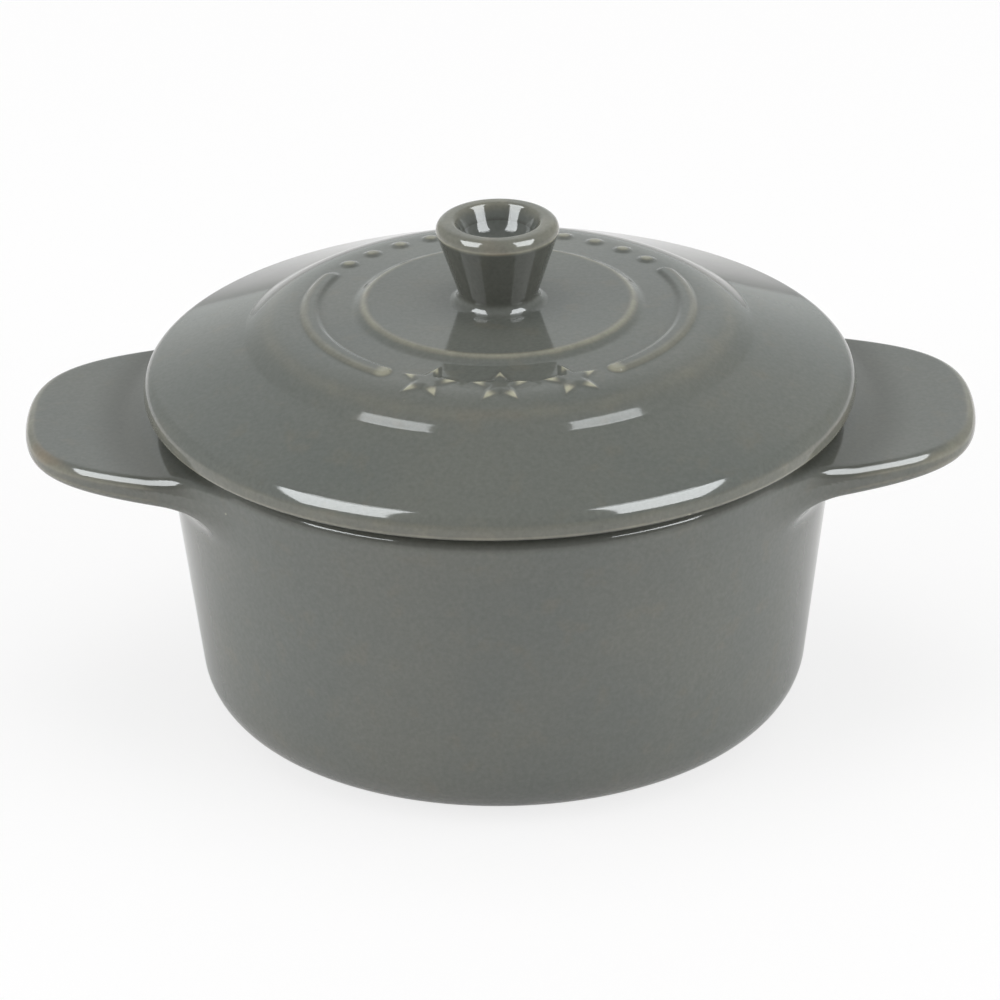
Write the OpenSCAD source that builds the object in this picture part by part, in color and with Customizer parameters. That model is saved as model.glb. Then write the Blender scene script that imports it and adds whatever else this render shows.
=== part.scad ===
// Mini cocotte in glazed stoneware: a small tapered pot with two lug handles, and a loose domed lid
// with a hollow-topped knob. The lid drops into the mouth of the pot and lifts straight off.
// Millimetres, +Z up. The origin is on the pot's axis in the plane it stands on, the lugs point
// along X, and the stars on the lid face -Y.

/* [Pot] */
// Height of the pot from the table to the top of its rim
pot_h = 48.5; // [43:0.1:60]
// Outer radius of the wall, carried up to the rim
rim_r = 50.6; // [46:0.1:62]
// Lean of the wall away from upright, in degrees
wall_lean = 7; // [2:0.5:10]
// Thickness of the wall, measured level
wall_t = 4.5; // [3.8:0.1:6]
// Thickness of the floor above the foot recess
floor_t = 4; // [3:0.1:7]
// Radius of the outer corner between base and wall
base_round = 8.6; // [4:0.1:11]
// Radius of the inner corner between floor and wall
floor_round = 10; // [4:0.5:16]
// Radius of the rim's outer edge
rim_round = 1.5; // [0.8:0.1:1.6]
// Radius of the rim's inner edge
mouth_round = 1.4; // [0.6:0.1:1.5]
// Depth of the recess inside the foot ring
foot_h = 1.2; // [0.6:0.1:2]
// Width of the flat ring that the pot stands on
foot_w = 4.6; // [3:0.1:8]

/* [Handles] */
// Reach of a lug beyond the wall
lug_reach = 20.7; // [14:0.1:28]
// Width of a lug where it meets the wall
lug_w = 49; // [36:0.5:62]
// Thickness of a lug at its tip
lug_t = 3.4; // [2.8:0.1:5]
// Extra thickness under a lug at the wall, which runs out at the tip
lug_swell = 1.5; // [0:0.1:3]
// Depth of a lug's top below the rim
lug_drop = 2; // [2:0.1:12]
// Taper of each side of a lug towards its tip, in degrees
lug_taper = 15; // [0:0.5:20]
// Squareness of the lug's corners: 2 is an ellipse, more is squarer
lug_square = 4.5; // [2.5:0.1:6]
// Radius of the fillet between wall and lug, above the lug
lug_fillet_top = 0.3; // [0.1:0.1:4]
// Radius of the fillet between wall and lug, under the lug
lug_fillet_under = 5.5; // [1:0.1:7]

/* [Lid] */
// Overhang of the lid beyond the wall of the pot
lid_overhang = 2.4; // [1:0.1:4]
// Height of the lid's lower edge above the rim
lip_lift = 1.5; // [0.6:0.1:2.4]
// Height of the lid's edge, up to the sharp corner before rounding
edge_h = 3; // [2.8:0.1:5]
// Radius of the lid's upper edge
edge_round = 3; // [1:0.1:3.2]
// Radius of the lid's lower edge
lip_round = 0.9; // [0.3:0.1:1]
// Width of the sloping brim, from the edge in to the shoulder
brim_w = 15.2; // [12:0.1:17]
// Rise of the brim from the edge to the shoulder
brim_rise = 6.1; // [4:0.1:8]
// Width of the shoulder's slope
step_w = 4.6; // [4:0.1:6]
// Height of the shoulder's slope
step_h = 3.1; // [1.8:0.1:4]
// Radius of the hollow bend at the foot of the shoulder
step_round = 3; // [0.5:0.1:4]
// Radius of the swelling bend at the top of the shoulder
crest_round = 16; // [4:0.5:16]
// Rise of the crown from the shoulder to the foot of the middle disc
crown_rise = 0.8; // [0.4:0.1:4]
// Radius of the raised middle disc
disc_r = 19.7; // [16:0.1:21]
// Width of the disc's sloping edge
disc_draft = 1.8; // [0.8:0.1:2.4]
// Height of the middle disc above the foot of its edge
disc_h = 0.9; // [0.5:0.1:1.6]
// Thickness of the lid
lid_t = 4.8; // [4:0.1:6]
// Depth of the locating flange below the rim
flange_h = 4; // [2.5:0.1:6]
// Thickness of the locating flange
flange_t = 3.6; // [3:0.1:5]
// Play between the flange and the mouth of the pot, at the rim
flange_gap = 1.4; // [0.8:0.1:2]
// Draw of the flange: how much narrower its lower end is
flange_draw = 0.5; // [0:0.1:1]

/* [Knob] */
// Height of the knob above the middle disc
knob_h = 12.8; // [9:0.1:20]
// Radius of the knob's spread foot
knob_foot_r = 7; // [6.4:0.1:10]
// Radius of the knob just above its foot
knob_waist_r = 5.6; // [4.5:0.1:6]
// Radius of the knob at its widest, below the lip
knob_top_r = 9.1; // [8.2:0.1:11]
// Height of the rounded lip
lip_h = 1.7; // [1.4:0.1:2.4]
// Radius of the hollow's mouth
hollow_r = 6; // [5:0.1:6.4]
// Radius of the hollow's floor, before its bend
hollow_floor_r = 2.5; // [1.6:0.1:3.5]
// Depth of the hollow
hollow_h = 4.2; // [3:0.1:8]

/* [Relief] */
// Height of the relief above the crown
relief_h = 0.6; // [0.4:0.1:1.4]
// Distance of the relief's ring in from the top of the shoulder
ring_in = 5.2; // [4.6:0.1:6.2]
// Radius of a star, centre to point
star_r = 4.2; // [3:0.1:5]
// Number of stars
star_n = 3; // [1:2:3]
// Turn from one star to the next, in degrees
star_turn = 22; // [18:0.5:26]
// Width of an arc ridge
ridge_w = 2.6; // [1.4:0.1:3]
// Turn from the front to where an arc ridge starts, in degrees
ridge_from = 37; // [34:1:50]
// Turn from the front to where an arc ridge ends, in degrees
ridge_to = 116; // [90:1:118]
// Radius of a bead in the row across the back
bead_r = 1.5; // [0.8:0.1:1.8]
// Number of beads
bead_n = 11; // [3:2:13]
// Turn from one bead to the next, in degrees
bead_turn = 10.6; // [9:0.1:11]

/* [Hidden] */
$fn = 96;
arc_step = 9;
glaze = "#6f6d6e";

// Pot
lean = tan(wall_lean);
base_r = rim_r - pot_h * lean;
floor_z = foot_h + floor_t;
base_flat_r = base_r - base_round * tan(45 - wall_lean / 2);
foot_in_r = base_flat_r - foot_w;
foot_edge = 0.5;
foot_draft = 0.6;
rim_in = rim_round * tan(45 + wall_lean / 2);
rim_edge = rim_in * cos(wall_lean);

// Lug: a plate whose rounded outline is centred behind the wall. Its seat gap keeps the flat facets of its
// inner face clear of the round wall.
lug_half_t = lug_t / 2;
lug_z = pot_h - lug_drop - lug_half_t;
lug_seat = 0.01;
lug_wall_r = wall_r(lug_z) + lug_seat;
lug_back = 12;
lug_x = lug_wall_r - lug_back;
lug_len = lug_reach + lug_back;
lug_slant = tan(lug_taper);
lug_half_w = lug_w / 2 + lug_back * lug_slant;
lug_fillet_over = min(lug_fillet_top, lug_drop - rim_edge);
fillet_share = 0.6;
lug_land = 0.2;
lug_rays = 56;
lug_nudge = 0.1;
lug_steps = 16;
lug_root = 0.4;

// Lid, from the edge up to the middle
lid_r = rim_r + lid_overhang;
lip_z = pot_h + lip_lift;
edge_z = lip_z + edge_h;
shoulder_r = lid_r - brim_w;
shoulder_z = edge_z + brim_rise;
crest_r = shoulder_r - step_w;
crest_z = shoulder_z + step_h;
crown_z = crest_z + crown_rise;
crown_r = disc_r + disc_draft;
disc_z = crown_z + disc_h;
disc_edge = 1.4;

// Underside of the lid, which seats on the flat of the rim
seat_r = rim_r - rim_in;
seat_round = 0.6;
flange_r = rim_r - wall_t - flange_gap;
flange_z = pot_h - flange_h;
flange_in_r = flange_r - flange_draw - flange_t;
flange_edge = 1.2;
dome_spring_z = pot_h + lid_t / 2;
dome_knee_r = crest_r - lid_t / 2;
dome_round = 6;

// Knob
knob_z = disc_z + knob_h;
foot_fillet = 1.1;
foot_rise = 0.5;
lip_crease = 0.4;
lip_land = 0.2;
hollow_edge = 0.8;
hollow_round = 3;

// Relief on the crown
ring_r = crest_r - ring_in;
relief_sink = 1;
star_points = 5;
star_waist = 0.46;
ridge_steps = 16;
end_steps = 6;

function wall_r(z) = base_r + z * lean;
function unit(v) = v / norm(v);

// Points of the arc that rounds corner b between its neighbours a and c
function arc(a, b, c, r) =
    r == 0 ? [b]
    : let (
        u = unit(a - b),
        v = unit(c - b),
        half = acos(u * v) / 2,
        middle = b + unit(u + v) * r / sin(half),
        first = b + u * r / tan(half) - middle,
        sweep = (180 - 2 * half) * sign(cross(b - a, c - b)),
        steps = ceil(abs(sweep) / arc_step)
    )
    [for (i = [0 : steps])
        let (turn = sweep * i / steps)
        middle + [
            first.x * cos(turn) - first.y * sin(turn),
            first.x * sin(turn) + first.y * cos(turn),
        ]];

// Outline through [x, y, radius] corners, each rounded to its radius
function rounded(corners) =
    let (
        count = len(corners),
        flat = [for (p = corners) [p.x, p.y]]
    )
    [for (i = [0 : count - 1])
        each arc(flat[(i + count - 1) % count], flat[i], flat[(i + 1) % count], corners[i].z)];

// Solid of revolution about Z from rounded corners
module turned(corners) {
    rotate_extrude() polygon(rounded(corners));
}

module pot() {
    color(glaze)
        turned([
            [foot_in_r, 0, foot_edge],
            [base_r, 0, base_round],
            [rim_r, pot_h, rim_round],
            [rim_r - wall_t, pot_h, mouth_round],
            [wall_r(floor_z) - wall_t, floor_z, floor_round],
            [0, floor_z, 0],
            [0, foot_h, 0],
            [foot_in_r - foot_draft, foot_h, foot_edge],
        ]);
}

// Distance to the lug's outline along the ray at a turn from its tip: the tip and both sides, blended
function lug_far(turn) =
    let (
        tip = cos(turn) / lug_len,
        sides = [for (s = [-1, 1]) max(lug_slant * cos(turn) + s * sin(turn), 0) / lug_half_w]
    )
    pow(pow(tip, lug_square) + pow(sides[0], lug_square) + pow(sides[1], lug_square), -1 / lug_square);

// Lug outline at a turn, -90 to 90 degrees, and the outward direction there
function lug_at(turn) = [lug_x, 0] + lug_far(turn) * [cos(turn), sin(turn)];
function lug_out(turn) =
    let (along = lug_at(turn + lug_nudge) - lug_at(turn - lug_nudge))
    unit([along.y, -along.x]);

// Turn at which the outline comes within the root width of the wall, by halving
function lug_end(low = 0, high = 90, tries = 24) =
    let (turn = (low + high) / 2)
    tries == 0 ? turn
        : norm(lug_at(turn)) > lug_wall_r + lug_root ? lug_end(turn, high, tries - 1)
        : lug_end(low, turn, tries - 1);

// Half thickness share at a depth in from the edge, which is round but for a narrow land
function lug_edge(depth) =
    let (in = min(depth / lug_half_t, 1))
    sqrt(1 - pow((1 - in) * sqrt(1 - lug_land * lug_land), 2));

// Height of a fillet of radius f at a gap from the wall
function fillet(f, gap) =
    let (away = f - min(max(gap, 0), f))
    f - sqrt(f * f - away * away);

// A point of the lug moved with the lean of the wall, wholly at the wall and not at the tip
function leaning(p, rise, hold) =
    let (q = p + unit(p) * rise * lean * hold)
    [q.x, q.y, lug_z + rise];

// One slice of the lug along the ray at a turn: out over the top, back along the underside
function lug_slice(turn) =
    let (
        way = [cos(turn), sin(turn)],
        far = lug_far(turn),
        across = lug_x * way.x,
        near = sqrt(across * across - lug_x * lug_x + lug_wall_r * lug_wall_r) - across,
        facing = way * lug_out(turn),
        room = fillet_share * (far - near),
        stops = [for (i = [0 : lug_steps]) near + (far - near) * (1 - cos(180 * i / lug_steps)) / 2],
        rows = [for (s = stops)
            let (
                p = [lug_x, 0] + s * way,
                gap = norm(p) - lug_wall_r,
                hold = 1 - min(max(gap, 0) / lug_reach, 1),
                edge = lug_edge((far - s) * facing),
                over = lug_half_t * edge + fillet(min(lug_fillet_over, room), gap),
                under = (lug_half_t + lug_swell * hold) * edge + fillet(min(lug_fillet_under, room), gap)
            )
            [leaning(p, over, hold), leaning(p, -under, hold)]]
    )
    concat(
        [for (row = rows) row[0]],
        [for (i = [len(rows) - 1 : -1 : 0]) rows[i][1]]
    );

// The lug on +X, lofted through its slices, which lie closer together towards its ends
module lug() {
    end = lug_end();
    slices = [for (i = [0 : lug_rays]) lug_slice(end * sin(180 * i / lug_rays - 90))];
    around = len(slices[0]);
    side = around / 2;
    last = lug_rays * around;
    skin = [for (i = [0 : lug_rays - 1], j = [0 : around - 1])
        let (k = (j + 1) % around, a = i * around, b = a + around)
        each [[a + j, b + j, b + k], [a + j, b + k, a + k]]];
    caps = [for (j = [0 : side - 2])
        let (k = around - 1 - j)
        each [
            [j, j + 1, k - 1], [j, k - 1, k],
            [last + j, last + k, last + k - 1], [last + j, last + k - 1, last + j + 1],
        ]];
    polyhedron([for (s = slices) each s], concat(skin, caps), convexity = 4);
}

module right_handle() {
    color(glaze) lug();
}

module left_handle() {
    color(glaze) rotate(180) lug();
}

// Body of the lid without its relief
module lid_shell() {
    turned([
        [lid_r, lip_z, lip_round],
        [lid_r, edge_z, edge_round],
        [shoulder_r, shoulder_z, step_round],
        [crest_r, crest_z, crest_round],
        [crown_r, crown_z, disc_edge],
        [disc_r, disc_z, disc_edge],
        [0, disc_z, 0],
        [0, disc_z - lid_t, 0],
        [dome_knee_r, crest_z - lid_t, dome_round],
        [flange_in_r, dome_spring_z, dome_round / 2],
        [flange_in_r, flange_z, flange_edge],
        [flange_r - flange_draw, flange_z, flange_edge],
        [flange_r, pot_h, 0],
        [seat_r, pot_h, seat_round],
    ]);
}

// Five-point star with one point towards the knob
module star() {
    corners = 2 * star_points;
    polygon([for (i = [0 : corners - 1])
        let (r = i % 2 == 0 ? star_r : star_r * star_waist)
        r * [sin(360 * i / corners), cos(360 * i / corners)]]);
}

// Plan of the ridge on the +X side: a strip along the ring with round ends
module ridge() {
    half = ridge_w / 2;
    middle = (ridge_from + ridge_to) / 2 - 90;
    reach = (ridge_to - ridge_from) / 2;
    along = [for (i = [0 : ridge_steps]) middle + reach * (2 * i / ridge_steps - 1)];
    back = [for (i = [0 : ridge_steps]) along[ridge_steps - i]];
    ends = [for (i = [1 : end_steps - 1]) 180 * i / end_steps];
    function on_ring(turn, r) = r * [cos(turn), sin(turn)];
    polygon(concat(
        [for (turn = along) on_ring(turn, ring_r + half)],
        [for (e = ends) on_ring(middle + reach, ring_r) + on_ring(middle + reach + e, half)],
        [for (turn = back) on_ring(turn, ring_r - half)],
        [for (e = ends) on_ring(middle - reach, ring_r) + on_ring(middle - reach + 180 + e, half)]
    ));
}

// Plan of all the relief on the crown: stars in front, a ridge on each side, beads across the back
module relief_plan() {
    for (i = [0 : star_n - 1])
        rotate((i - (star_n - 1) / 2) * star_turn) translate([0, -ring_r]) star();
    ridge();
    mirror([1, 0]) ridge();
    for (i = [0 : bead_n - 1])
        rotate(90 + (i - (bead_n - 1) / 2) * bead_turn) translate([ring_r, 0]) circle(bead_r);
}

// Relief raised from the plan and capped a little above the crown
module relief() {
    intersection() {
        translate([0, 0, crest_z - relief_sink]) linear_extrude(disc_z - crest_z + lid_t) relief_plan();
        rotate_extrude()
            polygon([
                [crown_r, crown_z - relief_sink],
                [crest_r, crest_z - relief_sink],
                [crest_r, crest_z + relief_h],
                [crown_r, crown_z + relief_h],
            ]);
    }
}

module lid() {
    color(glaze) {
        lid_shell();
        relief();
    }
}

module knob() {
    color(glaze)
        turned([
            [0, disc_z, 0],
            [knob_foot_r, disc_z, 0],
            [knob_waist_r, disc_z + foot_rise, foot_fillet],
            [knob_top_r, knob_z - lip_h, lip_crease],
            [knob_top_r, knob_z, lip_h - lip_land],
            [hollow_r, knob_z, hollow_edge],
            [hollow_floor_r, knob_z - hollow_h, hollow_round],
            [0, knob_z - hollow_h, 0],
        ]);
}

pot();
left_handle();
right_handle();
lid();
knob();
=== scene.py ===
import math
import bpy
import numpy as np
from mathutils import Matrix, Vector


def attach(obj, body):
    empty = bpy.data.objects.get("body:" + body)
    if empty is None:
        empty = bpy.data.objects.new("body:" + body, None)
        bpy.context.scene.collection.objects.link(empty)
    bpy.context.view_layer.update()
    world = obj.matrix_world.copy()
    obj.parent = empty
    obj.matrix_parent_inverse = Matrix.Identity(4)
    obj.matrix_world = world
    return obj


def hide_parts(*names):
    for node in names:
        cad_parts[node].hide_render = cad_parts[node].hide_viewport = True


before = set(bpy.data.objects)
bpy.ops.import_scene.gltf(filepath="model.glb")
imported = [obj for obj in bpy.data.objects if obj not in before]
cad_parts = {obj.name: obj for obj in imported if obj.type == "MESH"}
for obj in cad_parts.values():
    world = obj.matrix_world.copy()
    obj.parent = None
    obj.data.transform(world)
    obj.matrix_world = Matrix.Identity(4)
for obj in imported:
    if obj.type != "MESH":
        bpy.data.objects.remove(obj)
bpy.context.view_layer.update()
mm = 0.001
hubR = 0.6                                      # ring round the axis that a hub closes, in mm
print("frame loaded:", ", ".join(sorted(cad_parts)))


class Wire:
    # one shader socket; sums on it add the nodes they need
    def __init__(self, tree, socket=None):
        self.tree = tree
        self.socket = socket

    def add(self, kind, settings=None, inputs=None, out=0):
        node = self.tree.nodes.new(kind)
        for key, value in (settings or {}).items():
            setattr(node, key, value)
        for key, value in (inputs or {}).items():
            if isinstance(value, Wire):
                self.tree.links.new(value.socket, node.inputs[key])
            else:
                node.inputs[key].default_value = value
        return Wire(self.tree, None if out is None else node.outputs[out])

    def sum(self, operation, first, second):
        pair = [first, second]
        if any(isinstance(part, Wire) and part.socket.type in ("VECTOR", "RGBA") for part in pair):
            kind = "ShaderNodeVectorMath"
            pair = [(part,) * 3 if isinstance(part, (int, float)) else part for part in pair]
        else:
            kind = "ShaderNodeMath"
        return self.add(kind, {"operation": operation}, {0: pair[0], 1: pair[1]})

    def __add__(self, other):
        return self.sum("ADD", self, other)

    def __radd__(self, other):
        return self.sum("ADD", other, self)

    def __sub__(self, other):
        return self.sum("SUBTRACT", self, other)

    def __rsub__(self, other):
        return self.sum("SUBTRACT", other, self)

    def __mul__(self, other):
        return self.sum("MULTIPLY", self, other)

    def __rmul__(self, other):
        return self.sum("MULTIPLY", other, self)

    def mix(self, first, second):
        # this mask blends two colours
        first, second = [part if isinstance(part, Wire) else (*part, 1) for part in (first, second)]
        return self.add("ShaderNodeMix", {"data_type": "RGBA"}, {0: self, 6: first, 7: second}, 2)

    def step(self, low, high):
        # soft step from 0 to 1 between two values
        return self.add("ShaderNodeMapRange", {"interpolation_type": "SMOOTHSTEP"},
                        {0: self, 1: low, 2: high, 3: 0, 4: 1})

    def noise(self, scale, detail=2, rough=0.5):
        return self.add("ShaderNodeTexNoise", {},
                        {"Vector": self, "Scale": scale, "Detail": detail, "Roughness": rough})


def softStep(value, low, high):
    share = np.clip((value - low) / (high - low), 0, 1)
    return share * share * (3 - 2 * share)


def softLine(value, middle, wide):
    return np.exp(-((value - middle) / wide) ** 2)


def roundPath(corners, fine, coarse):
    # turned profile in mm; a corner is (radius, height, rounding), with steps fine on arcs, coarse between
    points = []
    flat = [np.array(corner[:2], float) for corner in corners]
    for i, corner in enumerate(corners):
        radius = corner[2] if len(corner) > 2 else 0
        if radius == 0 or i in (0, len(corners) - 1):
            points.append(flat[i][None])
            continue
        u = flat[i - 1] - flat[i]
        v = flat[i + 1] - flat[i]
        u, v = u / np.linalg.norm(u), v / np.linalg.norm(v)
        half = math.acos(np.clip(u @ v, -1, 1)) / 2
        middle = flat[i] + (u + v) / np.linalg.norm(u + v) * radius / math.sin(half)
        first = flat[i] + u * radius / math.tan(half) - middle
        sweep = (math.pi - 2 * half) * np.sign(u[1] * v[0] - u[0] * v[1])
        turns = np.linspace(0, sweep, max(4, int(abs(sweep) * radius / fine) + 1))
        points.append(middle + np.stack([first[0] * np.cos(turns) - first[1] * np.sin(turns),
                                         first[0] * np.sin(turns) + first[1] * np.cos(turns)], 1))
    path = [points[0]]
    for before, after in zip(points, points[1:]):
        gap = np.linalg.norm(after[0] - before[-1])
        count = max(1, int(gap / coarse))
        share = np.arange(1, count)[:, None] / count
        path.append(before[-1] + (after[0] - before[-1]) * share)
        path.append(after)
    path = np.concatenate(path)
    keep = np.r_[True, np.linalg.norm(np.diff(path, axis=0), axis=1) > 1e-6]    # no point twice
    return path[keep]


def columnTurns(steps):
    # turns round the axis, finer in the stated stretches: (from, to, step) in degrees
    turns = []
    for start, end, step in steps:
        count = max(1, round((end - start) / step))
        turns.append(np.arange(start, end - 1e-6, (end - start) / count))
    return np.radians(np.concatenate(turns))


def spin(path, turns):
    # grid of points from one profile turned round the axis
    r, z = path[:, :1], path[:, 1:]
    return np.stack([r * np.cos(turns), r * np.sin(turns), np.tile(z, (1, len(turns)))], -1)


def settle(line, turns, skin):
    # moves the points of each column onto the skin, where its distance is zero
    column = turns[:, None]
    tiny = 1e-4
    for _ in range(30):
        r, z = line[..., 0], line[..., 1]
        value = skin(r, z, column)
        slopeR = (skin(r + tiny, z, column) - skin(r - tiny, z, column)) / (2 * tiny)
        slopeZ = (skin(r, z + tiny, column) - skin(r, z - tiny, column)) / (2 * tiny)
        steep = np.maximum(slopeR ** 2 + slopeZ ** 2, 0.05)
        move = np.clip(value / steep, -0.8, 0.8)        # no point jumps across a lug
        line = line - np.stack([move * slopeR, move * slopeZ], -1)
    return line


def evenRows(line, rows, turnRows):
    # even rows along each column, closer where it turns
    along = np.diff(line, axis=1)
    length = np.linalg.norm(along, axis=2)
    heading = np.arctan2(along[..., 1], along[..., 0])
    swing = np.abs((np.diff(heading, axis=1) + np.pi) % (2 * np.pi) - np.pi)
    swing = np.where((length[:, 1:] > 1e-4) & (length[:, :-1] > 1e-4), swing, 0)
    travel = length.copy()
    travel[:, 1:] += turnRows * swing
    travel[:, :-1] += turnRows * swing
    travel = np.concatenate([np.zeros((len(line), 1)), np.cumsum(travel, 1)], 1)
    shares = np.linspace(0, 1, rows)
    even = np.empty((rows, len(line), 2))
    for c, column in enumerate(line):
        at = shares * travel[c, -1]
        for axis in (0, 1):
            even[:, c, axis] = np.interp(at, travel[c], column[:, axis])
    return even


def bend(points):
    # mean bend of a grid surface in 1/mm, convex is positive; rows by columns by xyz
    down = np.gradient(points, axis=0)
    along = (np.roll(points, -1, 1) - np.roll(points, 1, 1)) / 2
    normal = np.cross(down, along)
    normal /= np.maximum(np.linalg.norm(normal, axis=2, keepdims=True), 1e-12)

    def oneWay(before, after):
        total = 0
        for other in (before, after):
            away = points - other
            total = total + 2 * (away * normal).sum(2) / np.maximum((away * away).sum(2), 1e-6)
        return total / 2

    before = np.concatenate([points[:1], points[:-1]])
    after = np.concatenate([points[1:], points[-1:]])
    rowBend = oneWay(before, after)
    rowBend[[0, -1]] = 0
    return (rowBend + oneWay(np.roll(points, 1, 1), np.roll(points, -1, 1))) / 2


def spread(points, values, reach, times):
    # carries values over a grid surface like wet glaze that creeps
    for _ in range(times):
        total, weight = values.copy(), np.ones_like(values)
        for axis, way in ((0, 1), (0, -1), (1, 1), (1, -1)):
            other, value = np.roll(points, way, axis), np.roll(values, way, axis)
            share = np.exp(-((points - other) ** 2).sum(2) / (2 * reach * reach))
            if axis == 0:
                share[0 if way == 1 else -1] = 0
            total += share * value
            weight += share
        values = total / weight
    return values


def gridPiece(name, points, masks):
    # closed skin over a grid of rows and columns that wrap round, with a hub at each end; points in mm
    rows, cols = points.shape[:2]
    verts = points.reshape(-1, 3)
    i, j = np.meshgrid(np.arange(rows - 1), np.arange(cols), indexing="ij")
    k = (j + 1) % cols
    quads = [i * cols + j, (i + 1) * cols + j, (i + 1) * cols + k, i * cols + k]
    faces = np.stack(quads, -1).reshape(-1, 4).tolist()
    layers = {key: [values.reshape(-1)] for key, values in masks.items()}
    j = np.arange(cols)
    for row in (0, rows - 1):
        hub = len(verts)
        verts = np.concatenate([verts, points[row].mean(0)[None]])
        first, second = row * cols + j, row * cols + (j + 1) % cols
        fan = [first, second] if row == 0 else [second, first]
        faces += np.stack([np.full(cols, hub), *fan], 1).tolist()
        for key, values in masks.items():
            layers[key].append([values[row].mean()])
    mesh = bpy.data.meshes.new(name)
    mesh.from_pydata((verts * mm).tolist(), [], faces)
    mesh.polygons.foreach_set("use_smooth", np.ones(len(faces), bool))
    for key, values in layers.items():
        layer = mesh.attributes.new(key, "FLOAT", "POINT")
        layer.data.foreach_set("value", np.concatenate(values).astype(np.float32))
    mesh.update()
    piece = bpy.data.objects.new(name, mesh)
    bpy.context.scene.collection.objects.link(piece)
    return piece


# pot with its two lugs, one skin under one glaze
potSize = {
    "height": 48.5,
    "rimR": 50.6,
    "lean": math.tan(math.radians(7)),
    "wall": 4.5,
    "floorZ": 5.2,
    "baseRound": 8.6,
    "floorRound": 10,
    "rimRound": 1.5,
    "rimFlat": 2.25,                            # the outer skin starts this far in from the rim
    "mouthRound": 1.4,
    "footHigh": 1.2,
    "footWide": 4.6,
    "footSlope": 0.6,
    "footRound": 0.5,
    "lugReach": 20.7,
    "lugWide": 49,
    "lugThick": 3.4,
    "lugSwell": 1.5,                            # thicker by this at the root
    "lugDrop": 3.7,
    "lugSlant": math.tan(math.radians(15)),
    "lugSquare": 4.5,
    "lugBack": 12,
    "lugEdge": 1.55,
    "blendOver": 6.5,
    "blendUnder": 5.5,
    "blendRim": 1.9,                            # keeps the rim level
    "blendTurn": 2,
    "joinZ": 30.0,                              # the wall is plain below this
    "edgeWorn": 0.4,
    "edgeBend": (0.14, 0.4),
    "edgeOut": (3, 8),
    "poolBend": (0.05, 0.4),
    # painted shade on the lug tops next to the wall, and on the rim under the lid's overhang
    "cornerShade": 0.85,
    "cornerOut": (1, 4),
    "cornerEnd": (12, 6),
    "rimShade": 0.8,
    "rimDown": (2.2, 0.8),
    "rimIn": (4, 2.5),
    "rimOut": (2, 0.5),
    "bareHigh": 0.75,
    "bareOut": 2.2,
    "bareIn": 1.2,
    "rows": 130,
    "turnRows": 2.2,
    "guessRows": (24, 40, 150, 60, 150, 80),
    "columns": [(-36, -10, 0.4), (-10, 10, 0.7), (10, 36, 0.4), (36, 144, 1.5),
                (144, 170, 0.4), (170, 190, 0.7), (190, 216, 0.4), (216, 324, 1.5)],
}


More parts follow.
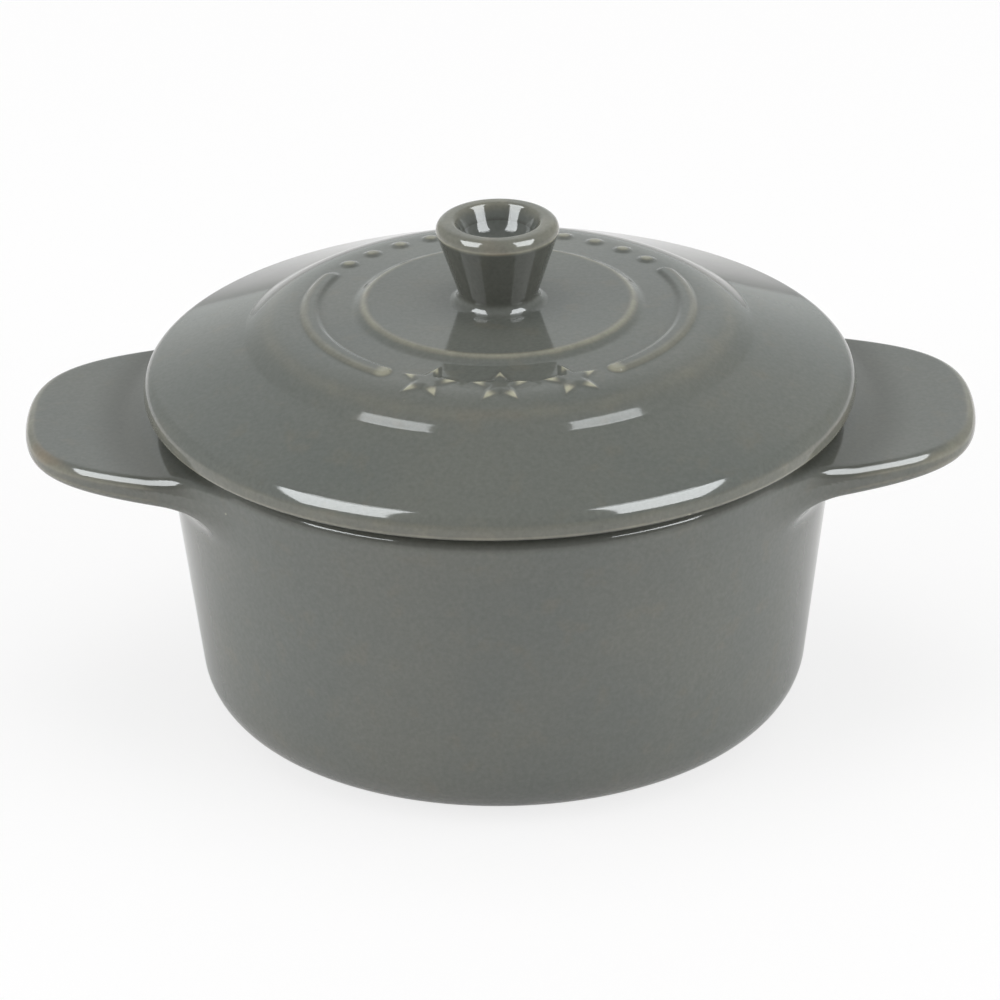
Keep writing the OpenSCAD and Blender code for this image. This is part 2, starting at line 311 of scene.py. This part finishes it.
def makePot(size):
    lean, rimR, high = size["lean"], size["rimR"], size["height"]
    baseR = rimR - high * lean
    tilt = math.atan(lean)
    flatR = baseR - size["baseRound"] * math.tan(math.pi / 4 - tilt / 2)
    footIn = flatR - size["footWide"]
    lugZ = high - size["lugDrop"]
    halfThick = size["lugThick"] / 2
    topZ, underZ, joinZ = lugZ + halfThick, lugZ - halfThick, size["joinZ"]
    rootZ = underZ - size["lugSwell"]
    square, slant = size["lugSquare"], size["lugSlant"]
    # centre of the rim's outer rounding
    rimRound = size["rimRound"]
    rimMid = (rimR - lean * rimRound - rimRound / math.cos(tilt), high - rimRound)

    def wallR(z):
        return baseR + z * lean

    def wallGap(r, z):
        # distance to the outer wall with its rounded rim
        dr, dz = r - rimMid[0], z - rimMid[1]
        flank = dr * math.cos(tilt) - dz * math.sin(tilt)
        up = dr * math.sin(tilt) + dz * math.cos(tilt)
        gap = np.where(up <= 0, flank, np.where(dr <= 0, dz, np.hypot(dr, dz)))
        return gap - rimRound

    wallAt = wallR(lugZ)
    lugX = wallAt - size["lugBack"]
    lugLen = size["lugReach"] + size["lugBack"]
    lugHalf = size["lugWide"] / 2 + size["lugBack"] * slant

    def outline(x, y):
        # distance to the lug's outline in plan, where its tip and two tapered sides blend
        ahead, aside = np.abs(x - lugX), np.abs(y)
        tip = ahead / lugLen
        near, far = [np.maximum(slant * ahead + way * aside, 0) / lugHalf for way in (1, -1)]
        total = tip ** square + near ** square + far ** square + 1e-12
        norm = total ** (1 / square)
        share = norm / total
        less = square - 1
        slopeX = tip ** less / lugLen + slant * (near ** less + far ** less) / lugHalf
        slopeY = (near ** less - far ** less) / lugHalf
        return (norm - 1) / np.maximum(share * np.hypot(slopeX, slopeY), 1e-9)

    def lugGap(r, z, turn):
        # distance to a lug with rounded edges
        x, y = np.abs(r * np.cos(turn)), r * np.sin(turn)
        hold = 1 - np.clip((r - wallAt) / size["lugReach"], 0, 1)
        under = halfThick + size["lugSwell"] * hold
        middle = lugZ + (halfThick - under) / 2
        half = (halfThick + under) / 2
        edge = size["lugEdge"]
        out = outline(x, y) + edge
        over = np.abs(z - middle) - (half - edge)
        outside = np.hypot(np.maximum(out, 0), np.maximum(over, 0))
        return np.minimum(np.maximum(out, over), 0) + outside - edge

    def skin(r, z, turn):
        # wall and lugs run into each other, less so towards the rim
        wall, lug = wallGap(r, z), lugGap(r, z, turn)
        side = softStep(z, lugZ - size["blendTurn"], lugZ + size["blendTurn"])
        soft = size["blendUnder"] + (size["blendOver"] - size["blendUnder"]) * side
        soft = soft + (size["blendRim"] - soft) * softStep(z, topZ, high)
        near = np.maximum(soft - np.abs(wall - lug), 0) / soft
        return np.minimum(wall, lug) - near * near * soft / 4

    turns = columnTurns(size["columns"])
    cols = len(turns)
    # reach of the lug along each column
    low, far = np.full(cols, 30.0), np.full(cols, 90.0)
    for _ in range(40):
        middle = (low + far) / 2
        held = outline(np.abs(middle * np.cos(turns)), middle * np.sin(turns)) < 0
        low, far = np.where(held, middle, low), np.where(held, far, middle)
    reach = np.maximum(low, wallR(topZ))
    # first guess: over the rim, out along the lug, back under it and down the wall
    stops = [(rimR - size["rimFlat"], high), (rimR, high), (wallR(topZ), topZ), (reach, topZ),
             (reach, underZ), (wallR(rootZ), rootZ), (wallR(joinZ), joinZ)]
    stops = [np.stack([r * np.ones(cols), z * np.ones(cols)], 1)[:, None] for r, z in stops]
    guess = []
    for start, end, count in zip(stops, stops[1:], size["guessRows"]):
        share = (np.arange(count) / count)[None, :, None]
        guess.append(start * (1 - share) + end * share)
    line = settle(np.concatenate([*guess, stops[-1]], 1), turns, skin)
    outer = evenRows(line, size["rows"], size["turnRows"])
    inner = roundPath([(hubR, size["floorZ"]),
                       (wallR(size["floorZ"]) - size["wall"], size["floorZ"], size["floorRound"]),
                       (rimR - size["wall"], high, size["mouthRound"]),
                       (rimR - size["rimFlat"], high)], 0.35, 2.5)[:-1]
    below = roundPath([(wallR(joinZ), joinZ), (baseR, 0, size["baseRound"]), (footIn, 0, size["footRound"]),
                       (footIn - size["footSlope"], size["footHigh"], size["footRound"]),
                       (hubR, size["footHigh"])], 0.45, 1.6)[1:]
    inner, below = [np.tile(path[:, None], (1, cols, 1)) for path in (inner, below)]
    profile = np.concatenate([inner, outer, below])
    radius, height = profile[..., 0], profile[..., 1]
    points = np.stack([radius * np.cos(turns), radius * np.sin(turns), height], -1)
    gap = wallGap(radius, height)
    curve = bend(points)
    # glaze thins on the edges of the lugs and pools in hollows; painted shade darkens the lugs' corner with
    # the rim, and the rim under the lid
    edge = softStep(curve, *size["edgeBend"]) * softStep(gap, *size["edgeOut"])
    thin = spread(points, size["edgeWorn"] * edge, 0.4, 3)
    poolAndShade = spread(points, softStep(-curve, *size["poolBend"]), 0.8, 8)
    # painted shade on the lug tops close to the wall, above the lug
    corner = softStep(gap, *size["cornerOut"]) * softStep(gap, *size["cornerEnd"]) * (height > lugZ)
    # painted shade on the rim's outer rounding under the lid's overhang
    rim = softStep(height, *[high - down for down in size["rimDown"]])
    rim = rim * softStep(radius, *[rimR - back for back in size["rimIn"]]) * softStep(gap, *size["rimOut"])
    poolAndShade = np.maximum(poolAndShade, np.maximum(size["cornerShade"] * corner, size["rimShade"] * rim))
    onFoot = (radius < flatR + size["bareOut"]) & (radius > footIn - size["bareIn"])
    bare = onFoot & (height < size["bareHigh"])
    bare[: len(inner) + len(outer)] = False
    pot = gridPiece("pot_with_lugs", points, {"thin": thin, "poolAndShade": poolAndShade, "bare": bare.astype(float)})
    print("pot:", len(pot.data.vertices), "points,", cols, "columns")
    return pot


# lid with its relief, in turns from the front; a tuple of three is a corner of the profile
lidSize = {
    "radius": 53,
    "seatZ": 48.5,
    "seatR": 48.9,
    "seatRound": 0.6,
    "lipZ": 50.0,
    "lipRound": 0.9,
    "edgeZ": 53.0,
    "edgeRound": 3,
    "shoulder": (37.8, 59.1, 3.0),
    "crest": (33.2, 62.2, 16),
    "crown": (21.6, 63.0, 2.2),
    "disc": (19.9, 63.9, 0.9),
    "thick": 4.8,
    "flangeR": (44.7, 44.2, 40.6),              # at the seat, at its lower edge and inside
    "flangeZ": 44.5,
    "flangeRound": 1.2,
    "underRound": (3, 6),
    "reliefOut": 3,                             # the relief may run this far past the crest
    "ringR": 28.0,
    "starHigh": 0.38,
    "starR": 4.25,
    "starWaist": 0.46,
    "starSlope": (-0.5, 0.9),
    "starTip": (0.38, 0.8),
    "starTurns": (-22, 0, 22),
    "ridgeHigh": 0.42,
    "ridgeWide": 3.3,
    "ridgeSlope": 1.05,
    "ridgeTurns": (37.5, 116),
    "beadR": 1.75,
    "beadSlope": 1.4,
    "beadCount": 11,
    "beadTurn": 10.6,
    "edgeWorn": 0.22,
    "edgeIn": (0.5, 0.1),
    "lipWorn": 0.4,
    "lipLine": (0.35, 0.25),
    "lipIn": 0.9,
    "lipShade": 0.9,
    "lipUnder": 0.3,
    "discWorn": 0.45,
    "discLine": (0.1, 0.7),
    "crestWorn": 0.2,
    "crestLine": (1.2, 1.8),
    "crownWorn": 0.4,
    "starWorn": 1.0,
    "ridgeWorn": 0.3,
    "ridgeEndWorn": 0.62,
    "beadWorn": 0.55,
    "thinBend": (0.3, 1.4),
    "poolBend": (0.1, 0.8),
    "bareBand": (0.5, 0.3),                     # bare seat, from past the flange to short of its outer edge
    "columns": [(-122, -58, 0.28), (-58, -50, 0.4), (-50, 22, 1.2), (22, 148, 0.45), (148, 230, 1.2),
                (230, 238, 0.4)],
}


def starGap(x, y, radius, waist):
    # signed distance to a five-point star, negative inside
    corners = np.array([(r * math.sin(math.radians(36 * i)), r * math.cos(math.radians(36 * i)))
                        for i, r in enumerate([radius, radius * waist] * 5)])
    best, inside = np.full(x.shape, 1e9), np.zeros(x.shape, bool)
    for a, b in zip(corners, np.roll(corners, -1, 0)):
        edge = b - a
        share = np.clip(((x - a[0]) * edge[0] + (y - a[1]) * edge[1]) / (edge @ edge), 0, 1)
        best = np.minimum(best, np.hypot(x - a[0] - share * edge[0], y - a[1] - share * edge[1]))
        level = (b[0] - a[0]) * (y - a[1]) / (b[1] - a[1] + 1e-12) + a[0]
        inside ^= ((a[1] > y) != (b[1] > y)) & (x < level)
    return np.where(inside, -best, best)


def reliefAt(x, y, size):
    # rise of the relief and how far the glaze has thinned on it
    ringR, starR = size["ringR"], size["starR"]
    front = np.degrees(np.arctan2(x, -y))       # turn from the front, to the right
    rise, worn = np.zeros(x.shape), np.zeros(x.shape)
    for turn in size["starTurns"]:
        a = math.radians(turn)
        u = x * math.cos(a) + y * math.sin(a)
        v = -x * math.sin(a) + y * math.cos(a) + ringR
        gap = starGap(u, v, starR, size["starWaist"])
        rise = np.maximum(rise, size["starHigh"] * softStep(-gap, *size["starSlope"]))
        tips = softStep(np.hypot(u, v), *[share * starR for share in size["starTip"]])
        worn = np.maximum(worn, size["starWorn"] * (tips * softStep(-gap, -0.2, 0.3)))
    start, end = size["ridgeTurns"]
    half = size["ridgeWide"] / 2
    for side in (-1, 1):
        held = np.radians(np.clip(front * side, start, end))
        off = np.hypot(x * side - ringR * np.sin(held), y + ringR * np.cos(held))
        rise = np.maximum(rise, size["ridgeHigh"] * softStep(half - off, 0, size["ridgeSlope"]))
        on = softStep(half - off, -0.2, 0.6)
        outer = softStep(np.hypot(x, y) - ringR, -0.4, 0.6)
        tip = softStep(np.radians(start - front * side) * ringR, -2.0, 0.3)
        worn = np.maximum(worn, on * np.maximum(size["ridgeWorn"] * outer, size["ridgeEndWorn"] * tip))
    count = size["beadCount"]
    for i in range(count):
        a = math.radians((i - (count - 1) / 2) * size["beadTurn"])
        off = np.hypot(x - ringR * math.sin(a), y - ringR * math.cos(a))
        lift = softStep(size["beadR"] - off, 0, size["beadSlope"])
        rise = np.maximum(rise, size["ridgeHigh"] * lift)
        worn = np.maximum(worn, size["beadWorn"] * softStep(lift, 0.3, 1))
    return rise, worn


def makeLid(size):
    outR, seatR, seatZ, lipZ, edgeZ = [size[key] for key in ("radius", "seatR", "seatZ", "lipZ", "edgeZ")]
    crestR, crestZ, _ = size["crest"]
    discR, discZ, _ = size["disc"]
    shoulderR = size["shoulder"][0]
    thick, flangeZ, flangeRound = size["thick"], size["flangeZ"], size["flangeRound"]
    flangeTop, flangeLow, flangeIn = size["flangeR"]
    top = roundPath([(hubR, discZ), size["disc"], size["crown"], size["crest"], size["shoulder"],
                     (outR, edgeZ, size["edgeRound"]), (outR, lipZ, size["lipRound"]),
                     (seatR, seatZ, size["seatRound"]), (flangeTop, seatZ)], 0.16, 0.2)
    cornerRound, domeRound = size["underRound"]
    under = roundPath([(flangeTop, seatZ), (flangeLow, flangeZ, flangeRound),
                       (flangeIn, flangeZ, flangeRound), (flangeIn, seatZ + thick / 2, cornerRound),
                       (crestR - thick / 2, crestZ - thick, domeRound),
                       (hubR, discZ - thick)], 0.4, 2.0)[1:]
    # the flat of the disc and the brim need fewer rows than the crown
    onFlat = top[:, 0] < discR - 1.2
    onBrim = (top[:, 0] > shoulderR + 2) & (top[:, 0] < outR - 2.5)
    wide = onFlat | onBrim
    keep = np.ones(len(top), bool)
    keep[wide] = np.arange(wide.sum()) % 4 == 0
    top = top[keep]
    path = np.concatenate([top, under])
    turns = columnTurns(size["columns"])
    points = spin(path, turns)
    crown = np.zeros(len(path), bool)
    crown[: len(top)] = (top[:, 0] > discR) & (top[:, 0] < crestR + size["reliefOut"])
    rise, worn = reliefAt(points[crown, :, 0], points[crown, :, 1], size)
    points[crown, :, 2] += rise
    curve = bend(points)
    thin = spread(points, softStep(curve, *size["thinBend"]), 0.3, 5)
    thin[crown] = np.maximum(thin[crown] * size["crownWorn"], worn)
    poolAndShade = spread(points, softStep(-curve, *size["poolBend"]), 0.5, 6)
    # thin rings on the disc's edge and the crest
    r, z = top[:, 0], top[:, 1]
    discOut, discWide = size["discLine"]
    crestOut, crestWide = size["crestLine"]
    onDisc = size["discWorn"] * softLine(r, discR + discOut, discWide)
    onCrest = size["crestWorn"] * softLine(r, crestR + crestOut, crestWide) * (z > edgeZ)
    thin[: len(top)] = np.maximum(thin[: len(top)], np.maximum(onDisc, onCrest)[:, None])
    # a pale line runs along the lip's lower edge, and painted shade darkens the glaze under it
    r, z = path[:, 0], path[:, 1]
    onLip = softLine(z, lipZ + size["lipLine"][0], size["lipLine"][1]) * (r > outR - size["lipIn"])
    onEdge = softStep(r, *[outR - back for back in size["edgeIn"]])
    thin = np.maximum(thin, np.maximum(size["lipWorn"] * onLip, size["edgeWorn"] * onEdge)[:, None])
    # painted shade under the lid's lip, over the gap to the pot's rim
    underLip = softStep(z, lipZ + size["lipUnder"], lipZ) * (r > seatR - 0.5)
    poolAndShade = np.maximum(poolAndShade, size["lipShade"] * underLip[:, None])
    onSeat = (r > flangeTop - size["bareBand"][0]) & (r < seatR - size["bareBand"][1])
    bare = np.zeros(curve.shape)
    bare[onSeat & (np.abs(z - seatZ) < 0.06)] = 1
    lid = gridPiece("lid_shell", points, {"thin": thin, "poolAndShade": poolAndShade, "bare": bare})
    print("lid:", len(lid.data.vertices), "points,", len(turns), "columns")
    return lid


# knob, hollow at the top; its corners stand on the lid's disc
knobSize = {
    "footZ": 63.9,
    "foot": [(8.0, -0.03), (7.2, 0.0, 1.6), (5.62, 0.6, 1.3)],
    "lip": [(9.1, 11.1, 0.4), (9.1, 12.8, 1.5)],
    "hollow": [(6.4, 12.8, 0.9), (4.2, 8.6, 3.6), (0.3, 8.6)],
    "turn": 2.0,
    # painted shade on the knob's cone
    "coneShade": 0.8,
    "coneFoot": (0.5, 1.8),
    "lipWorn": 0.3,
    "lipIn": (5.2, 6.4),
    "creaseWorn": 0.5,
    "creaseLine": (0.1, 0.3),
}


def makeKnob(size):
    corners = size["foot"] + size["lip"] + size["hollow"]
    path = roundPath([(c[0], c[1] + size["footZ"], *c[2:]) for c in corners], 0.12, 0.5)[::-1]
    turns = columnTurns([(0, 360, size["turn"])])
    points = spin(path, turns)
    r, z = path[:, 0], path[:, 1] - size["footZ"]
    creaseZ = size["lip"][0][1]
    lipIn = size["lipIn"]
    lip = softStep(z, creaseZ - 0.1, creaseZ + 0.2) * softStep(r, *lipIn)
    line = softLine(z, creaseZ + size["creaseLine"][0], size["creaseLine"][1]) * (r > 8)
    # painted shade on the cone, which faces down towards the dark lid
    shadedCone = softStep(z, *size["coneFoot"]) * softStep(creaseZ - z, 0, 0.6) * (r > lipIn[0])
    around = np.ones((1, len(turns)))
    thin = np.maximum(size["lipWorn"] * lip, size["creaseWorn"] * line)[:, None] * around
    poolAndShade = (size["coneShade"] * shadedCone)[:, None] * around
    knob = gridPiece("knob_cup", points, {"thin": thin, "poolAndShade": poolAndShade, "bare": thin * 0})
    print("knob:", len(knob.data.vertices), "points")
    return knob


# grey glaze over a pale stoneware body
glazeLook = {
    "grey": (0.122, 0.126, 0.112),
    "cool": (0.111, 0.118, 0.108),
    # dark of glaze pooled in hollows, also used for painted shade and for dark flecks
    "deepAndShade": (0.058, 0.058, 0.048),
    "warm": (0.142, 0.133, 0.106),
    "cream": (0.36, 0.35, 0.265),
    "rust": (0.20, 0.12, 0.07),
    "clay": (0.55, 0.49, 0.40),
    "clayDark": 0.86,
    "cloudScale": 45,
    "blotchScale": 240,
    "grainScale": 1500,
    "stainScale": 70,
    "fleckScale": 150,
    "blotchWarm": 0.3,
    "poolAndShadeDeep": 0.8,
    "edgeWarm": 0.5,
    "stainRust": 0.3,
    "fleckPale": 0.7,
    "fleckDark": 0.8,
    "rough": 0.07,
    "roughDrift": 0.05,
    "roughBare": 0.7,
    "ior": 1.5,
    "rippleScale": 130,
    "pitScale": 900,
    "pitShare": 0.12,
    "bump": 0.25,
    "bumpHigh": 0.00006,
}


def makeGlaze(name, look):
    material = bpy.data.materials.new(name)
    material.use_nodes = True
    tree = material.node_tree
    tree.nodes.clear()
    wire = Wire(tree)
    point = wire.add("ShaderNodeTexCoord", out="Object")
    thin, poolAndShade, bare = [wire.add("ShaderNodeAttribute", {"attribute_name": key}, out="Fac")
                        for key in ("thin", "poolAndShade", "bare")]
    cloud = point.noise(look["cloudScale"], 3)          # slow drift of the firing
    blotch = point.noise(look["blotchScale"], 3)
    grain = point.noise(look["grainScale"], 2, 0.6)     # fine mottle of the glaze
    colour = cloud.step(0.3, 0.7).mix(look["grey"], look["cool"])
    colour = (blotch.step(0.55, 0.75) * look["blotchWarm"]).mix(colour, look["warm"])
    # glaze pooled in hollows turns deep; painted shade darkens the same way under the lid's lip, by the
    # lugs' roots, on the rim and on the knob's cone
    colour = (poolAndShade * look["poolAndShadeDeep"]).mix(colour, look["deepAndShade"])
    # thin glaze turns olive, then cream, with a rusty stain here and there
    broken = thin * (0.6 + 0.8 * blotch)
    colour = (broken.step(0.02, 0.4) * look["edgeWarm"]).mix(colour, look["warm"])
    colour = broken.step(0.1, 1.0).mix(colour, look["cream"])
    stain = broken.step(0.1, 0.4) * point.noise(look["stainScale"], 1).step(0.66, 0.74)
    colour = (stain * look["stainRust"]).mix(colour, look["rust"])
    colour = colour * (0.82 + 0.36 * grain)
    # a few pale and dark flecks, about one cell in fifteen each
    cells = {"Vector": point, "Scale": look["fleckScale"]}
    fleck = wire.add("ShaderNodeTexVoronoi", {}, cells, "Distance").step(0.04, 0.02)
    draw = wire.add("ShaderNodeSeparateColor", {}, {0: wire.add("ShaderNodeTexVoronoi", {}, cells, "Color")})
    colour = (fleck * draw.step(0.93, 0.94) * look["fleckPale"]).mix(colour, look["cream"])
    colour = (fleck * draw.step(0.07, 0.06) * look["fleckDark"]).mix(colour, look["deepAndShade"])
    # bare clay with an uneven edge
    clay = grain.step(0.3, 0.7).mix(look["clay"], [part * look["clayDark"] for part in look["clay"]])
    edge = (bare + 0.25 * (blotch - 0.5)).step(0.45, 0.6)
    colour = edge.mix(colour, clay)
    rough = look["rough"] + look["roughDrift"] * (blotch - 0.5) + look["roughBare"] * edge
    ripple = point.noise(look["rippleScale"], 2) + look["pitShare"] * point.noise(look["pitScale"], 1)
    lift = wire.add("ShaderNodeBump", {}, {"Strength": look["bump"], "Distance": look["bumpHigh"],
                                           "Height": ripple})
    shader = wire.add("ShaderNodeBsdfPrincipled", {}, {"Base Color": colour, "Roughness": rough,
                                                       "IOR": look["ior"], "Normal": lift})
    wire.add("ShaderNodeOutputMaterial", {}, {"Surface": shader}, None)
    return material


glaze = makeGlaze("grey_glaze", glazeLook)
pieces = [
    (makePot(potSize), "pot_body", ("pot", "left_handle", "right_handle")),
    (makeLid(lidSize), "lid_body", ("lid",)),
    (makeKnob(knobSize), "lid_body", ("knob",)),
]
for piece, body, nodes in pieces:
    piece.data.materials.append(glaze)
    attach(piece, body)
    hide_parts(*nodes)
print("pieces ride:", ", ".join(piece.name for piece, _, _ in pieces))

# floor and soft light; side lights and strips stand in pairs, given for the right
studioLook = {
    "floor": (0.90, 0.88, 0.883),
    "floorSize": 8,
    "floorZ": -0.0002,                          # a hair under the foot ring
    "floorWhite": 0.78,
    "floorGloss": 0.25,
    "room": (0.965, 1.0, 0.995),
    "front": 0.43,
    "back": 0.92,
    "overhead": 0.45,
    "top": {"light": 2.1, "place": (0, 0, 1.6), "size": (1.2, 1.2), "aim": (0, 0, 0), "lean": (0, 1, 0)},
    "side": {"light": 4.1, "place": (1.32, -0.35, 0.38), "size": (1.5, 0.75), "aim": (0, 0, 0.04),
             "lean": (0, 0, 1)},
    "strip": {"light": 11.5, "place": (0.6275, -0.2913, 0.7896), "size": (0.52, 0.885),
              "aim": (0, -0.03, 0.05), "lean": (-0.39, 0.766, 0.51)},
    "stripEnd": {"light": 6.2, "place": (0.4165, 0.0812, 1.0383), "size": (0.34, 0.075),
                 "aim": (0, -0.03, 0.05), "lean": (-0.39, 0.766, 0.51)},
    "stripTint": (0.95, 0.985, 1.0),
}


def softBox(name, panel, side=1):
    # lit panel that faces its aim, its second side along the lean; side -1 stands on the left
    place, aim, lean = [Vector((side * panel[key][0], *panel[key][1:])) for key in ("place", "aim", "lean")]
    wide, long = panel["size"]
    lamp = bpy.data.lights.new(name, "AREA")
    lamp.shape = "RECTANGLE"
    lamp.size, lamp.size_y = wide, long
    lamp.energy = panel["light"] * math.pi * wide * long
    box = bpy.data.objects.new(name, lamp)
    bpy.context.scene.collection.objects.link(box)
    back = (place - aim).normalized()
    across = lean.cross(back).normalized()
    turn = Matrix((across, back.cross(across), back)).transposed()
    box.matrix_world = Matrix.Translation(place) @ turn.to_4x4()
    return box


def makeFloor(look):
    half, low = look["floorSize"], look["floorZ"]
    mesh = bpy.data.meshes.new("floor")
    corners = [(-half, -half, low), (half, -half, low), (half, half, low), (-half, half, low)]
    mesh.from_pydata(corners, [], [(0, 1, 2, 3)])
    floor = bpy.data.objects.new("floor", mesh)
    bpy.context.scene.collection.objects.link(floor)
    paper = bpy.data.materials.new("pale_paper")
    paper.use_nodes = True
    paper.node_tree.nodes.clear()
    wire = Wire(paper.node_tree)
    sheet = wire.add("ShaderNodeBsdfDiffuse", {}, {"Color": (*look["floor"], 1)})
    white = wire.add("ShaderNodeEmission", {}, {"Color": (1, 1, 1, 1), "Strength": 1.0})
    # white to the eye and through glass, and partly so in reflections, which keep the contact shadow
    camera, glass, gloss = [wire.add("ShaderNodeLightPath", out="Is %s Ray" % ray)
                            for ray in ("Camera", "Transmission", "Glossy")]
    seen = (camera + glass) * look["floorWhite"] + gloss * look["floorGloss"]
    mixed = wire.add("ShaderNodeMixShader", {}, {0: seen, 1: sheet, 2: white})
    wire.add("ShaderNodeOutputMaterial", {}, {"Surface": mixed}, None)
    floor.data.materials.append(paper)


def makeRoom(look):
    # even room light, brighter behind the pot
    world = bpy.data.worlds.new("soft_room")
    bpy.context.scene.world = world
    world.use_nodes = True
    world.node_tree.nodes.clear()
    wire = Wire(world.node_tree)
    way = wire.add("ShaderNodeTexCoord", out="Generated")
    breadth, depth, height = [wire.add("ShaderNodeSeparateXYZ", {}, {0: way}, axis) for axis in "XYZ"]
    breadth = wire.add("ShaderNodeMath", {"operation": "ABSOLUTE"}, {0: breadth})
    behind = depth.step(-0.35, 0.5) * breadth.step(0.6, 0.2)
    around = look["front"] + (look["back"] - look["front"]) * behind
    above = height.step(0.55, 0.9)
    level = around * (1 - above) + look["overhead"] * above
    sky = wire.add("ShaderNodeBackground", {}, {"Color": (*look["room"], 1), "Strength": level})
    wire.add("ShaderNodeOutputWorld", {}, {"Surface": sky}, None)


def makeLights(look):
    # top and side lights give the shade, strips give the highlights
    softBox("top_light", look["top"]).visible_glossy = False
    for side in (-1, 1):
        softBox("side_light", look["side"], side).visible_glossy = False
        for key in ("strip", "stripEnd"):
            box = softBox(key, look[key], side)
            box.visible_diffuse = False
            box.data.color = look["stripTint"]


makeFloor(studioLook)
makeRoom(studioLook)
makeLights(studioLook)
print("studio: floor, room light, top and side lights, strips")

# camera at the photograph's angle
cameraLook = {
    "away": 0.9,
    "rise": 25.759,
    "roll": -0.964,
    "aim": (-0.00029, 0, 0.030917),
    "lens": 215.58,
}


def makeCamera(look):
    data = bpy.data.cameras.new("camera")
    data.lens = look["lens"]
    data.sensor_width = 36
    data.clip_start = 0.05
    camera = bpy.data.objects.new("camera", data)
    bpy.context.scene.collection.objects.link(camera)
    rise = math.radians(look["rise"])
    aim = Vector(look["aim"])
    place = aim + look["away"] * Vector((0, -math.cos(rise), math.sin(rise)))
    turn = (aim - place).to_track_quat("-Z", "Y").to_matrix().to_4x4()
    roll = Matrix.Rotation(math.radians(look["roll"]), 4, "Z")
    camera.matrix_world = Matrix.Translation(place) @ turn @ roll
    bpy.context.scene.camera = camera
    print("camera set")


makeCamera(cameraLook)
bpy.context.scene.view_settings.view_transform = "Standard"
